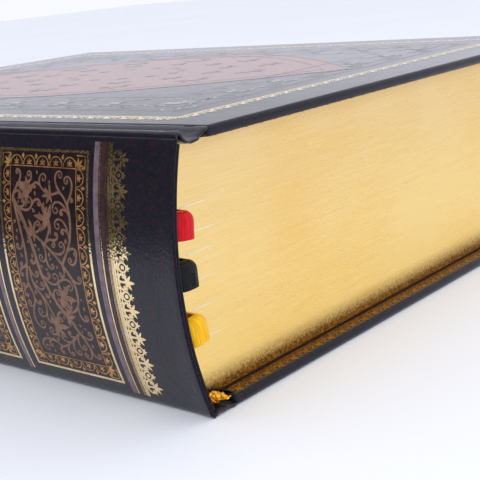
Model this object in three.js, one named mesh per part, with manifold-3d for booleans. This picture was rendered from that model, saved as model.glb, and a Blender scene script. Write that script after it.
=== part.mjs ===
// A thick leather-bound prayer book, lying closed on its lower cover.
//
// Millimetres, +Z up. The origin is on the table under the middle of the book.
// The spine is towards -X, the fore edge towards +X, the head of the book
// (the end where the ribbons come out) towards -Y and the tail towards +Y.

import * as THREE from 'three';
import { mergeVertices } from 'three/addons/utils/BufferGeometryUtils.js';
import Module from 'manifold-3d';

const wasm = await Module();
wasm.setup();

// ---- driving dimensions -------------------------------------------------

const bookWidth = 254; // spine crown to fore edge
const bookHeight = 304; // head to tail
const bookThickness = 80;

const coverThickness = 3.3; // leather, board and turn-in together
const coverWidth = 236; // one cover, without its joint
const leatherThickness = 0.6;
const turnInWidth = 15; // leather folded onto the inside of a board
const layerGap = 0.1; // between glued flat layers

const squareWidth = 6.4; // how far the covers stand out past the leaves
const endpaperThickness = 0.25;
const endpaperGap = 0.2;

const spineRadius = 117; // outside of the rounded spine
const spineMiddle = 43; // height of the spine's crown
const spineLeatherThickness = 1.2;
const spineLowZ = 2; // the spine strip's own ends, between the two joints
const spineHighZ = 78.6;

const ribbonWidth = 9;
const ribbonThickness = 0.4;
const ribbonGap = 0.8; // space between two stacks of leaves, for a ribbon

// ---- derived places -----------------------------------------------------

const foreX = bookWidth / 2;
const coverBackX = foreX - coverWidth; // spine-side edge of both covers
const spineAxisX = -bookWidth / 2 + spineRadius;
const headY = -bookHeight / 2;
const leafHeadY = headY + squareWidth;
const leafLength = bookHeight - 2 * squareWidth;

const foldRadius = spineRadius - 3.7; // back of the sewn folds
const leafBackX = coverBackX - 5.7; // where the leaves start to turn
const leafForeX = foreX - squareWidth; // fore edge of the top and bottom leaf
const blockLowZ = 4;
const blockHighZ = bookThickness - 4;

// X of a circle about the spine's own axis, at height z.
function arcX(radius, z) {
  return spineAxisX - Math.sqrt(radius ** 2 - (z - spineMiddle) ** 2);
}

// ---- helpers ------------------------------------------------------------

// Turns an outline drawn in X and Z into a prism along Y, from yLow.
function alongY(outline, yLow, length, curveSegments = 12) {
  const geometry = new THREE.ExtrudeGeometry(outline, {
    depth: length,
    bevelEnabled: false,
    curveSegments,
  });
  geometry.rotateX(Math.PI / 2);
  geometry.translate(0, yLow + length, 0);
  return geometry;
}

// Turns an outline drawn in X and Y into a plate, from zLow.
function alongZ(outline, zLow, height, curveSegments = 6) {
  const geometry = new THREE.ExtrudeGeometry(outline, {
    depth: height,
    bevelEnabled: false,
    curveSegments,
  });
  geometry.translate(0, 0, zLow);
  return geometry;
}

function boxBetween(low, high) {
  const size = high.map((value, i) => value - low[i]);
  const geometry = new THREE.BoxGeometry(...size);
  geometry.translate(...low.map((value, i) => value + size[i] / 2));
  return geometry;
}

function toSolid(geometry) {
  const bare = geometry.clone();
  bare.deleteAttribute('normal');
  bare.deleteAttribute('uv');
  const merged = mergeVertices(bare, 1e-4);
  return new wasm.Manifold(new wasm.Mesh({
    numProp: 3,
    vertProperties: new Float32Array(merged.attributes.position.array),
    triVerts: new Uint32Array(merged.index.array),
  }));
}

function toGeometry(solid) {
  const { vertProperties, triVerts } = solid.getMesh();
  const geometry = new THREE.BufferGeometry();
  geometry.setAttribute('position', new THREE.BufferAttribute(vertProperties, 3));
  geometry.setIndex(new THREE.BufferAttribute(triVerts, 1));
  geometry.computeVertexNormals();
  return geometry;
}

// Turns a height over: a lower-cover layer becomes an upper-cover layer.
function layer(isUpper, zLow, zHigh) {
  return isUpper ? [bookThickness - zHigh, bookThickness - zLow] : [zLow, zHigh];
}

// ---- materials ----------------------------------------------------------

function finish(color, roughness, metalness = 0) {
  return new THREE.MeshStandardMaterial({ color, roughness, metalness });
}

const leather = finish(0x262730, 0.45);
const greyBoard = finish(0x8d8578, 0.9);
const endpaper = finish(0x2a1716, 0.7);
const giltPaper = finish(0xd9b45a, 0.35, 0.6);
const foldedPaper = finish(0xe6dcc3, 0.8);
const cottonCloth = finish(0xd8d2c2, 0.95);
const silkBand = finish(0xc79a3a, 0.7);
const redSatin = finish(0xd0021b, 0.4);
const blackSatin = finish(0x101010, 0.45);
const yellowSatin = finish(0xf5b800, 0.4);

const book = new THREE.Group();

function add(name, geometry, material) {
  const mesh = new THREE.Mesh(geometry, material);
  mesh.name = name;
  book.add(mesh);
}

// ---- covers -------------------------------------------------------------

// The leather of one cover: a shallow tray that wraps round the board's
// edges and is folded in over its inside at the head, tail and fore edge.
function coverLeather(isUpper) {
  const turnInLow = coverThickness - 0.5;
  const wall = leatherThickness;
  const [outLow, outHigh] = layer(isUpper, 0, coverThickness);
  const [inLow, inHigh] = layer(isUpper, wall, turnInLow);
  const [winLow, winHigh] = layer(isUpper, turnInLow - 0.5, coverThickness + 1);
  const outside = boxBetween([coverBackX, headY, outLow], [foreX, -headY, outHigh]);
  const pocket = boxBetween(
    [coverBackX + wall, headY + wall, inLow],
    [foreX - wall, -headY - wall, inHigh],
  );
  const window = boxBetween(
    [coverBackX + wall, headY + turnInWidth, winLow],
    [foreX - turnInWidth, -headY - turnInWidth, winHigh],
  );
  return toGeometry(toSolid(outside).subtract(toSolid(pocket)).subtract(toSolid(window)));
}

function coverBoard(isUpper) {
  const inset = leatherThickness + layerGap;
  const [low, high] = layer(isUpper, inset, coverThickness - 0.5 - layerGap);
  return boxBetween(
    [coverBackX + inset, headY + inset, low],
    [foreX - inset, -headY - inset, high],
  );
}

// The paper glued over the board inside the frame of turned-in leather.
function pastedown(isUpper) {
  const edge = turnInWidth + endpaperGap;
  const [low, high] = layer(isUpper, coverThickness - 0.5, coverThickness - 0.1);
  return boxBetween(
    [coverBackX + leatherThickness + endpaperGap, headY + edge, low],
    [foreX - edge, -headY - edge, high],
  );
}

// The strip of leather in the groove between a cover and the spine. Places
// are X from the cover's back edge and Z. The weight of the book presses the
// lower groove a little narrower than the upper one.
const upperGroove = [
  [-12.6, 78.9], [-12.3, 79.6], [-11.6, 80], [-10.6, 79.8], [-9.6, 78.8], [-8.4, 77.4],
  [-5, 77.3], [-2, 78.5], [-0.3, 79.5], [-0.3, 78.7], [-2, 77.7], [-4.6, 76.7],
  [-8.9, 76.8], [-10.2, 78], [-11.3, 78.9],
];
const lowerGroove = [
  [-10.7, 1.7], [-10.4, 0.9], [-9.8, 0.4], [-9, 0.3], [-8.3, 1], [-7.6, 2.3],
  [-5, 2.6], [-2, 1.5], [-0.3, 0.5], [-0.3, 1.3], [-2, 2.3], [-4.6, 3.3],
  [-8, 3.2], [-8.9, 1.9], [-9.3, 1.7],
];

function jointLeather(groove) {
  const points = groove.map(([x, z]) => new THREE.Vector2(coverBackX + x, z));
  return alongY(new THREE.Shape(points), headY, bookHeight);
}

for (const isUpper of [false, true]) {
  const side = isUpper ? 'upper' : 'lower';
  add(`${side}_cover_leather`, coverLeather(isUpper), leather);
  add(`${side}_cover_board`, coverBoard(isUpper), greyBoard);
  add(`${side}_pastedown`, pastedown(isUpper), endpaper);
  add(`${side}_joint_leather`, jointLeather(isUpper ? upperGroove : lowerGroove), leather);
}

// ---- spine --------------------------------------------------------------

// A strip that follows the rounded spine between two radii.
function spineBand(outer, inner, zLow, zHigh, yLow, length) {
  const angle = (radius, z) => Math.PI - Math.asin((z - spineMiddle) / radius);
  const band = new THREE.Shape();
  band.absarc(spineAxisX, spineMiddle, outer, angle(outer, zHigh), angle(outer, zLow), false);
  band.absarc(spineAxisX, spineMiddle, inner, angle(inner, zLow), angle(inner, zHigh), true);
  return alongY(band, yLow, length, 16);
}

// The sewn and glued folds of all the sections, rounded at the back.
function sewnFolds() {
  const low = blockLowZ - 0.4;
  const high = blockHighZ + 0.4;
  const angle = (z) => Math.PI - Math.asin((z - spineMiddle) / foldRadius);
  const folds = new THREE.Shape();
  folds.moveTo(leafBackX - 0.3, high);
  folds.absarc(spineAxisX, spineMiddle, foldRadius, angle(high), angle(low), false);
  folds.lineTo(leafBackX - 0.3, low);
  return alongY(folds, leafHeadY, leafLength, 16);
}

const spineInside = spineRadius - spineLeatherThickness;
const inlayOutside = spineInside - 0.2;
const liningOutside = foldRadius + 1.2;
const liningShort = 18; // the lining cloth stops this far from head and tail
const bandWidth = 2;
const bandHeight = 2.4;

add('spine_leather', spineBand(
  spineRadius, spineInside, spineLowZ, spineHighZ, headY, bookHeight,
), leather);
add('spine_inlay', spineBand(
  inlayOutside, inlayOutside - 0.6,
  blockLowZ, blockHighZ, headY + 1, bookHeight - 2,
), greyBoard);
add('spine_lining', spineBand(
  liningOutside, liningOutside - 0.4,
  blockLowZ, blockHighZ, leafHeadY + liningShort, leafLength - 2 * liningShort,
), cottonCloth);
add('sewn_back', sewnFolds(), foldedPaper);
add('head_band', spineBand(
  foldRadius, foldRadius - bandWidth,
  blockLowZ + 2, blockHighZ - 2, leafHeadY - 0.2 - bandHeight, bandHeight,
), silkBand);
add('tail_band', spineBand(
  foldRadius, foldRadius - bandWidth,
  blockLowZ + 2, blockHighZ - 2, -leafHeadY + 0.2, bandHeight,
), silkBand);

// ---- leaves -------------------------------------------------------------

// The three ribbons divide the leaves into four stacks. Heights are those
// of the gaps in which the ribbons lie, from the yellow one up.
const ribbonHeights = { yellow: 25.5, black: 41.5, red: 55 };
const leafWidth = leafForeX - arcX(foldRadius, blockHighZ);

// A stack of leaves. Every leaf is as wide as the others, so the fore edge
// is hollow by as much as the spine is round.
function leafStack(zLow, zHigh) {
  const steps = 6;
  const outline = new THREE.Shape();
  outline.moveTo(leafBackX, zHigh);
  outline.lineTo(leafBackX, zLow);
  for (let i = 0; i <= steps; i += 1) {
    const z = zLow + ((zHigh - zLow) * i) / steps;
    outline.lineTo(arcX(foldRadius, z) + leafWidth, z);
  }
  return alongY(outline, leafHeadY, leafLength);
}

function flyleaf(isUpper) {
  const low = blockLowZ - endpaperGap - endpaperThickness;
  const [zLow, zHigh] = layer(isUpper, low, low + endpaperThickness);
  return boxBetween([leafBackX, leafHeadY, zLow], [leafForeX, -leafHeadY, zHigh]);
}

const halfGap = ribbonGap / 2;
const { yellow, black, red } = ribbonHeights;
add('leaves_1', leafStack(red + halfGap, blockHighZ), giltPaper);
add('leaves_2', leafStack(black + halfGap, red - halfGap), giltPaper);
add('leaves_3', leafStack(yellow + halfGap, black - halfGap), giltPaper);
add('leaves_4', leafStack(blockLowZ, yellow - halfGap), giltPaper);
add('upper_flyleaf', flyleaf(true), endpaper);
add('lower_flyleaf', flyleaf(false), endpaper);

// ---- ribbons ------------------------------------------------------------

const ribbonBackX = spineAxisX - foldRadius - 0.4; // glued stretch, middle of its thickness
const ribbonFrontX = coverBackX - 6.6; // where it dives in between the leaves
const ribbonTopY = headY + 1.8;
const ribbonBend = 2.5;

// The loop that comes out of the hollow spine, over the head band and down
// to the leaves. It is drawn at the spine's crown and turned round the
// spine's axis to its own height.
function ribbonLoop(height) {
  const half = ribbonThickness / 2;
  const gluedEndY = leafHeadY + 10;
  const frontEndY = leafHeadY - 0.4;
  const backBendX = ribbonBackX + ribbonBend;
  const frontBendX = ribbonFrontX - ribbonBend;
  const bendY = ribbonTopY + ribbonBend;
  const outer = ribbonBend + half;
  const inner = ribbonBend - half;
  const loop = new THREE.Shape();
  loop.moveTo(ribbonBackX - half, gluedEndY);
  loop.absarc(backBendX, bendY, outer, Math.PI, 1.5 * Math.PI, false);
  loop.absarc(frontBendX, bendY, outer, 1.5 * Math.PI, 2 * Math.PI, false);
  loop.lineTo(ribbonFrontX + half, frontEndY);
  loop.lineTo(ribbonFrontX - half, frontEndY);
  loop.absarc(frontBendX, bendY, inner, 2 * Math.PI, 1.5 * Math.PI, true);
  loop.absarc(backBendX, bendY, inner, 1.5 * Math.PI, Math.PI, true);
  loop.lineTo(ribbonBackX + half, gluedEndY);
  const geometry = alongZ(loop, -ribbonWidth / 2, ribbonWidth);
  const middleRadius = spineAxisX - (ribbonBackX + ribbonFrontX) / 2;
  geometry.translate(-spineAxisX, 0, 0);
  geometry.rotateY(Math.asin((height - spineMiddle) / middleRadius));
  geometry.translate(spineAxisX, 0, spineMiddle);
  return geometry;
}

// The long flat run between two stacks of leaves, and the free end that
// hangs down over the tail.
function ribbon(height, tailX, hangLength) {
  const half = ribbonWidth / 2;
  const startX = coverBackX - 1.6;
  const tabX = ribbonFrontX - ribbonThickness / 2;
  const tailY = -leafHeadY + 0.9;
  const run = new THREE.Shape([
    new THREE.Vector2(tabX, leafHeadY - 1.8),
    new THREE.Vector2(startX + half, leafHeadY - 1.8),
    new THREE.Vector2(tailX + half, tailY),
    new THREE.Vector2(tailX - half, tailY),
    new THREE.Vector2(startX - half, leafHeadY - 0.4),
    new THREE.Vector2(tabX, leafHeadY - 0.4),
  ]);
  const halfThickness = ribbonThickness / 2;
  const free = boxBetween(
    [tailX - half, tailY - ribbonThickness, height - hangLength],
    [tailX + half, tailY, height + halfThickness],
  );
  return toGeometry(toSolid(ribbonLoop(height))
    .add(toSolid(alongZ(run, height - halfThickness, ribbonThickness)))
    .add(toSolid(free)));
}

add('ribbon_red', ribbon(red, coverBackX + 40, 25), redSatin);
add('ribbon_black', ribbon(black, coverBackX + 62, 22), blackSatin);
add('ribbon_yellow', ribbon(yellow, coverBackX + 84, 18), yellowSatin);

export default book;
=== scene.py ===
# %% [markdown]
# # A leather prayer book with gilt edges
# Everything made here is placed from those parts.

# %% Load the frame
import math
import random

import bmesh
import bpy
from mathutils import Matrix, Vector


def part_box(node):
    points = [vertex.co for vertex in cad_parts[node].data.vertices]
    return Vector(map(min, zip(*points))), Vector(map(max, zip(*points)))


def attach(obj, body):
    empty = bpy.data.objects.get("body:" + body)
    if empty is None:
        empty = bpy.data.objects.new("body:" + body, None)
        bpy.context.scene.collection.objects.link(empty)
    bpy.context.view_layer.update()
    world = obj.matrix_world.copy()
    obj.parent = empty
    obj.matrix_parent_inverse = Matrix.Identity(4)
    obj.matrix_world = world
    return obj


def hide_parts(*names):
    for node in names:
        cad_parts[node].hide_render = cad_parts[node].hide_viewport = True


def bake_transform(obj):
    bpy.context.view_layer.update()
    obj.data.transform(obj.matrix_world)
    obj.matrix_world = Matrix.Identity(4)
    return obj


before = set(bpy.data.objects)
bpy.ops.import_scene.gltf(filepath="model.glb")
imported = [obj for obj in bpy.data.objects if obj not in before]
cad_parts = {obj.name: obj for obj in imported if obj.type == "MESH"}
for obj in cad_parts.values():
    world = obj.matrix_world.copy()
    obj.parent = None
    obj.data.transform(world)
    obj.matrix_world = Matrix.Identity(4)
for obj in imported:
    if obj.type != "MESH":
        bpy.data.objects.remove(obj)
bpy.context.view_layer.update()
mm = 0.001

# %% [markdown]
# Every place is measured the way a binder measures: how far from the cover's
# spine-side edge, how far from the head, how high. `at` turns such a place
# into the frame's metres. The spine is bent to a circle, whose middle is
# inside the book and as high as the middle of the leaves. The ribbons lie
# between the leaves at three heights.

# %% Places on the book
cover_low, cover_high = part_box("upper_cover_leather")
leaves_low, leaves_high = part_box("leaves_1")
COVER_WIDTH = (cover_high.x - cover_low.x) / mm
HEIGHT = (cover_high.y - cover_low.y) / mm
THICKNESS = cover_high.z / mm
COVER = (cover_high.z - cover_low.z) / mm
CROWN = (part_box("spine_leather")[0].x - cover_low.x) / mm
SQUARE = (leaves_low.y - cover_low.y) / mm
SPINE_RADIUS = 117
SPINE_MIDDLE = 43
SPINE_AXIS = CROWN + SPINE_RADIUS
FOLD_RADIUS = SPINE_RADIUS - 3.7
RIBBON_HEIGHTS = {"yellow": 25.5, "black": 41.5, "red": 55.0}
LEAF_BACK = (leaves_low.x - cover_low.x) / mm
BEND_REACH = 34


def at(x, y, z):
    """A place in metres, from millimetres off the cover's back, the head and the table."""
    return Vector((cover_low.x + x * mm, cover_low.y + y * mm, z * mm))


print("cover", COVER_WIDTH, "x", HEIGHT, "mm, book", THICKNESS, "mm thick, crown at", CROWN)

# %% [markdown]
# ## The camera and the light
# The camera stands low at the corner of the head and the spine, a little
# above the upper cover, so that the cover is seen almost edge-on. A lens of
# about 79 mm gives the perspective of a close view. The lines of the book
# lean a little, so the camera is rolled a few degrees.

# %% Camera
CAMERA_PLACE = at(-205.2, -185.5, 118.0)
CAMERA_FORWARD = Vector((0.732, 0.636, -0.245))
CAMERA_ROLL = math.radians(-5.73)


def make_camera():
    data = bpy.data.cameras.new("camera")
    data.lens = 78.9
    data.sensor_width = 36
    data.clip_start = 0.01
    data.clip_end = 20
    camera = bpy.data.objects.new("camera", data)
    turn = CAMERA_FORWARD.to_track_quat("-Z", "Y").to_matrix()
    roll = Matrix.Rotation(CAMERA_ROLL, 3, "Z")
    camera.matrix_world = Matrix.Translation(CAMERA_PLACE) @ (turn @ roll).to_4x4()
    bpy.context.collection.objects.link(camera)
    bpy.context.scene.camera = camera
    return camera


camera = make_camera()
print("camera at", [round(v, 3) for v in camera.location])

# %% [markdown]
# ## Helpers
# A material is built from nodes. One function adds a node, sets it and links
# it, and one function turns a colour as it is written in a paint program
# into the linear numbers that Blender calculates with.

# %% Colour and node helpers
def colour(code):
    """An sRGB colour such as 'd0021b' as linear red, green, blue and alpha."""
    parts = [int(code[i:i + 2], 16) / 255 for i in (0, 2, 4)]
    return tuple(p / 12.92 if p < 0.04045 else ((p + 0.055) / 1.055) ** 2.4 for p in parts) + (1,)


def add_node(material, kind, settings=None, inputs=None):
    """Adds a node: settings are its properties, inputs its values or links by name or number."""
    node = material.node_tree.nodes.new(kind)
    for name, value in (settings or {}).items():
        setattr(node, name, value)
    for socket, value in (inputs or {}).items():
        if isinstance(value, bpy.types.NodeSocket):
            material.node_tree.links.new(value, node.inputs[socket])
        else:
            node.inputs[socket].default_value = value
    return node


def new_material(name):
    """An empty material with a Principled surface, and that surface's node."""
    material = bpy.data.materials.new(name)
    material.use_nodes = True
    surface = material.node_tree.nodes["Principled BSDF"]
    return material, surface


def link(material, out, node, socket):
    """Links an output to a socket of a node."""
    material.node_tree.links.new(out, node.inputs[socket])


# %% Mesh helpers
def finish_mesh(bm, name, material, body, outwards=True):
    """Turns a bmesh into an object that rides on a body, its faces turned outwards if it is closed."""
    if outwards:
        bmesh.ops.recalc_face_normals(bm, faces=bm.faces)
    mesh = bpy.data.meshes.new(name)
    bm.to_mesh(mesh)
    bm.free()
    piece = bpy.data.objects.new(name, mesh)
    bpy.context.collection.objects.link(piece)
    for part in material if isinstance(material, (list, tuple)) else [material]:
        mesh.materials.append(part)
    mesh.shade_smooth()
    if body:
        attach(piece, body)
    return piece


def box_mesh(low, high):
    """A bmesh cube from one corner to the other."""
    bm = bmesh.new()
    bmesh.ops.create_cube(bm, size=1)
    size = high - low
    bmesh.ops.scale(bm, vec=size, verts=bm.verts)
    bmesh.ops.translate(bm, vec=low + size / 2, verts=bm.verts)
    return bm


def warped_grid(columns, rows, place, uv_size=None):
    """A grid whose points are put where place(s, t) says, s and t running from 0 to 1."""
    bm = bmesh.new()
    bmesh.ops.create_grid(bm, x_segments=columns, y_segments=rows, size=0.5)
    if uv_size:
        layer = bm.loops.layers.uv.new("UVMap")
        for face in bm.faces:
            for corner in face.loops:
                s, t = corner.vert.co.x + 0.5, corner.vert.co.y + 0.5
                corner[layer].uv = (s * uv_size[0], t * uv_size[1])
    for vert in bm.verts:
        vert.co = place(vert.co.x + 0.5, vert.co.y + 0.5)
    return bm


def face_towards(bm, direction):
    """Turns over the faces of a sheet that look away from a direction."""
    bm.normal_update()
    wrong = [f for f in bm.faces if f.normal.dot(direction) < 0]
    bmesh.ops.reverse_faces(bm, faces=wrong)


def thicken(bm, outward, thickness, rounding, segments=3):
    """Gives a sheet a thickness in metres behind its outward side, and rounds its rim."""
    bmesh.ops.recalc_face_normals(bm, faces=bm.faces)
    if sum(f.normal.dot(outward) * f.calc_area() for f in bm.faces) < 0:
        bmesh.ops.reverse_faces(bm, faces=bm.faces)
    bm.normal_update()
    bmesh.ops.solidify(bm, geom=bm.faces[:], thickness=thickness)
    bmesh.ops.recalc_face_normals(bm, faces=bm.faces)
    if rounding:
        rim = [e for e in bm.edges if e.calc_face_angle(0) > math.radians(60)]
        bmesh.ops.bevel(bm, geom=rim, affect="EDGES", offset=rounding, segments=segments,
                        profile=0.5, material=-1)


def sharpen(piece, degrees=35):
    """Keeps edges that turn by more than an angle crisp, while the rest is shaded smooth."""
    piece.data.set_sharp_from_angle(angle=math.radians(degrees))


def smooth_profile(points, share):
    """A place on the smooth curve through a row of points; share runs from 0 to 1."""
    last = len(points) - 1
    i = min(int(share * last), last - 1)
    t = share * last - i
    a, b, c, d = (points[max(0, min(last, k))] for k in (i - 1, i, i + 1, i + 2))
    return [0.5 * (2 * q + (r - p) * t + (2 * p - 5 * q + 4 * r - w) * t * t
                   + (3 * q - p - 3 * r + w) * t ** 3) for p, q, r, w in zip(a, b, c, d)]


# %% [markdown]
# ## Ribbons
# Three satin ribbons, 9 mm wide, are glued in the hollow of the spine. Each
# comes out at the head, loops over the head band with its width upright,
# dives between the leaves, turns flat and runs down to the tail, where its
# free end hangs out. The route is a row of points. Between the leaves the
# ribbon leans towards the fore edge, each a little more than the one above.

# %% Ribbon material
def make_satin(name, first, second):
    """Satin: fine ribs of thread across the ribbon, and a soft shine along them; its colour is streaked
    partly by the thread's own tone and partly by painted sheen.
    """
    satin, surface = new_material(name)
    spot = add_node(satin, "ShaderNodeUVMap").outputs["UV"]
    ribs = add_node(satin, "ShaderNodeTexWave", {"bands_direction": "X"},
                    {"Vector": spot, "Scale": 0.5, "Distortion": 1.5, "Detail": 2.0})
    drawn_out = add_node(satin, "ShaderNodeMapping", {}, {"Vector": spot, "Scale": (1.8, 0.12, 1.0)})
    thread_noise_and_sheen = add_node(satin, "ShaderNodeTexNoise", {},
                       {"Vector": drawn_out.outputs[0], "Scale": 1.0, "Detail": 3.0})
    # Painted sheen: the stretched noise streaks the colour between a darker and a brighter tone, partly
    # thread tone and partly sheen painted in.
    tone = add_node(satin, "ShaderNodeValToRGB", {}, {"Fac": thread_noise_and_sheen.outputs["Fac"]})
    tone.color_ramp.elements[0].position = 0.35
    tone.color_ramp.elements[0].color = colour(first)
    tone.color_ramp.elements[1].position = 0.65
    tone.color_ramp.elements[1].color = colour(second)
    relief = add_node(satin, "ShaderNodeMath", {"operation": "MULTIPLY_ADD"},
                      {0: ribs.outputs["Fac"], 1: 0.35, 2: thread_noise_and_sheen.outputs["Fac"]})
    bump = add_node(satin, "ShaderNodeBump", {},
                    {"Height": relief.outputs[0], "Strength": 0.6, "Distance": 0.12 * mm})
    link(satin, tone.outputs["Color"], surface, "Base Color")
    link(satin, bump.outputs["Normal"], surface, "Normal")
    surface.inputs["Roughness"].default_value = 0.3
    surface.inputs["Specular IOR Level"].default_value = 0.18
    return satin


# %% Ribbon shape
RIBBON_WIDTH = 9.0
RIBBON_THICKNESS = 0.24
RIBBON_BACK = CROWN + 3.3
RIBBON_FRONT = -6.6
RIBBON_BEND = 2.5
UPPER_FLAT = 0.2  # how far the loop is flat from its middle, before its edges roll back
UPPER_ROLL = 2.9
LOWER_FLAT = 4.4
LOWER_ROLL = 1.0
LOOP_LIFT = 0.8
LOOP_MIDDLE = 19  # how far along the ribbon the loop's middle is, and how far its curl fades
LOOP_FADE = 8
CUT_LENGTH = 6  # the free end is cut aslant over this length
CUT_SLANT = 2.5
RIBBON_TOP = 1.8
LOOP_RADIUS = SPINE_AXIS - (RIBBON_BACK + RIBBON_FRONT) / 2
TAIL_Y = HEIGHT - SQUARE + 0.9


def loop_route():
    """The loop as it lies at the spine's crown: (x, y) from the glued end to the leaves."""
    back, front = RIBBON_BACK + RIBBON_BEND, RIBBON_FRONT - RIBBON_BEND
    middle = RIBBON_TOP + RIBBON_BEND
    points = [(RIBBON_BACK, y) for y in (16.4, 12, 8)]
    turns = [math.radians(a) for a in range(180, 271, 15)]
    points += [(back + RIBBON_BEND * math.cos(a), middle + RIBBON_BEND * math.sin(a)) for a in turns]
    turns = [math.radians(a) for a in range(270, 361, 15)]
    points += [(front + RIBBON_BEND * math.cos(a), middle + RIBBON_BEND * math.sin(a)) for a in turns]
    return points + [(RIBBON_FRONT, 6.0)]


def ribbon_route(height, tail_x, hang):
    """Rows of (place, direction of the width) from the glued end to the free end."""
    lean = math.asin((height - SPINE_MIDDLE) / LOOP_RADIUS)
    turned = Vector((math.sin(lean), 0, math.cos(lean)))
    rows = []
    for x, y in loop_route():
        radius = SPINE_AXIS - x
        rows.append((at(SPINE_AXIS - radius * math.cos(lean), y,
                        SPINE_MIDDLE + radius * math.sin(lean)), turned))
    front = SPINE_AXIS - (SPINE_AXIS - RIBBON_FRONT) * math.cos(lean)
    flat = Vector((1, 0, 0))
    for k in range(1, 9):
        share = k / 8
        x = front + (6 - front) * share ** 2
        z = height + (rows[len(loop_route()) - 1][0].z / mm - height) * (1 - share) ** 2
        turn = share * share * (3 - 2 * share)
        rows.append((at(x, 6.0 + 34 * share, z), turned.lerp(flat, turn).normalized()))
    for k in range(1, 13):
        share = k / 12
        rows.append((at(6 + (tail_x - 6) * share, 40 + (TAIL_Y - 42.0) * share, height), flat))
    for degrees in (30, 60, 90):
        a = math.radians(degrees)
        rows.append((at(tail_x, TAIL_Y - 2 + 2 * math.sin(a) - 0.2, height - 2 + 2 * math.cos(a)), flat))
    for k in range(1, 6):
        share = k / 5
        rows.append((at(tail_x + 0.8 * share, TAIL_Y - 0.2 - 0.5 * share, height - 2 - (hang - 2) * share),
                     flat))
    return rows


def ribbon(name, height, tail_x, hang, material, bodies):
    rows = ribbon_route(height, tail_x, hang)
    path = [place for place, width in rows]
    lengths = [0.0]
    for a, b in zip(path, path[1:]):
        lengths.append(lengths[-1] + (b - a).length)
    total = lengths[-1]

    def place(s, t):
        """The ribbon's surface; its edges curl back where it loops over the head."""
        k = max(i for i in range(len(lengths) - 1) if lengths[i] <= s * total + 1e-9)
        share = (s * total - lengths[k]) / (lengths[k + 1] - lengths[k])
        spot = smooth_profile([tuple(p) for p in path], (k + share) / (len(path) - 1))
        width = rows[k][1].lerp(rows[k + 1][1], share)
        across = 2 * t - 1
        along = (path[k + 1] - path[k]).normalized()
        loop = max(0.0, min(1.0, 1.8 - abs(s * total / mm - LOOP_MIDDLE) / LOOP_FADE))
        flat, radius = (UPPER_FLAT, UPPER_ROLL) if across > 0 else (LOWER_FLAT, LOWER_ROLL)
        reach = abs(across) * RIBBON_WIDTH / 2
        rest = max(0.0, reach - flat)
        roll = rest / radius
        rolled = min(reach, flat) + (1 - loop) * rest + loop * radius * math.sin(roll)
        cup = width.cross(along).normalized() * loop * radius * (1 - math.cos(roll)) * mm
        lifted = width * loop * LOOP_LIFT * mm
        end = max(0.0, 1 - (1 - s) * total / (CUT_LENGTH * mm))
        return (Vector(spot) + lifted + width * math.copysign(rolled, across) * mm + cup
                + along * end * CUT_SLANT * mm * across)

    bm = warped_grid(260, 16, place, (total / mm, RIBBON_WIDTH))
    bmesh.ops.solidify(bm, geom=bm.faces[:], thickness=RIBBON_THICKNESS * mm)
    piece = finish_mesh(bm, name + "_satin", material, None)
    sharpen(piece, 60)
    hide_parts(name)
    if bodies:
        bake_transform(piece)
    else:
        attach(piece, "book_block")
    print(name, "is", round(total / mm, 1), "mm long")


ribbon("ribbon_red", RIBBON_HEIGHTS["red"], 40, 25, make_satin("red satin", "a8000c", "e40018"),
       ("book_block", "leaf_stack_2"))
ribbon("ribbon_black", RIBBON_HEIGHTS["black"], 62, 22, make_satin("black satin", "030304", "141416"),
       ("book_block", "leaf_stack_3"))
ribbon("ribbon_yellow", RIBBON_HEIGHTS["yellow"], 84, 18,
       make_satin("yellow satin", "eba000", "ffce20"), None)

# %% [markdown]
# ## Leather
# Calf leather, dyed almost black, plated and lightly polished. It has a fine
# grain of little cells under a millimetre wide, a soft coat that turns pale
# when it is seen edge-on, and a dark red undertone in small specks. The
# cells come from a Voronoi texture: its distance is the bump, and a second,
# coarser noise makes the surface a little uneven.

# %% Leather material
GRAIN_SIZE = 0.9 * mm
SPECKLE_SIZE = 0.9 * mm


def make_leather(name, coat, coat_roughness, sheen=0.34, specular=0.2):
    leather, surface = new_material(name)
    place = add_node(leather, "ShaderNodeTexCoord").outputs["Object"]
    cells = add_node(leather, "ShaderNodeTexVoronoi", {"feature": "F1"},
                     {"Vector": place, "Scale": 1 / GRAIN_SIZE, "Randomness": 0.9})
    folds = add_node(leather, "ShaderNodeTexNoise", {},
                     {"Vector": place, "Scale": 1 / (6 * mm), "Detail": 5.0, "Roughness": 0.6})
    speckle = add_node(leather, "ShaderNodeTexNoise", {},
                       {"Vector": place, "Scale": 1 / SPECKLE_SIZE, "Detail": 2.0})
    dye = add_node(leather, "ShaderNodeValToRGB", {}, {"Fac": speckle.outputs["Fac"]})
    dye.color_ramp.elements[0].position = 0.46
    dye.color_ramp.elements[0].color = colour("0b1220")
    dye.color_ramp.elements[1].position = 0.68
    dye.color_ramp.elements[1].color = colour("2a151b")
    height = add_node(leather, "ShaderNodeMath", {"operation": "MULTIPLY_ADD"},
                      {0: folds.outputs["Fac"], 1: 0.9, 2: cells.outputs["Distance"]})
    grain = add_node(leather, "ShaderNodeBump", {},
                     {"Height": height.outputs[0], "Strength": 0.32, "Distance": 0.12 * mm})
    shine = add_node(leather, "ShaderNodeMapRange", {},
                     {"Value": folds.outputs["Fac"], 1: 0.3, 2: 0.7, 3: 0.34, 4: 0.46})
    link(leather, dye.outputs["Color"], surface, "Base Color")
    link(leather, shine.outputs[0], surface, "Roughness")
    link(leather, grain.outputs["Normal"], surface, "Normal")
    link(leather, grain.outputs["Normal"], surface, "Coat Normal")
    surface.inputs["Specular IOR Level"].default_value = specular
    surface.inputs["Coat Weight"].default_value = coat
    surface.inputs["Coat Roughness"].default_value = coat_roughness
    surface.inputs["Sheen Weight"].default_value = sheen
    surface.inputs["Sheen Roughness"].default_value = 0.3
    surface.inputs["Sheen Tint"].default_value = colour("c9c2e0")
    return leather


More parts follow.
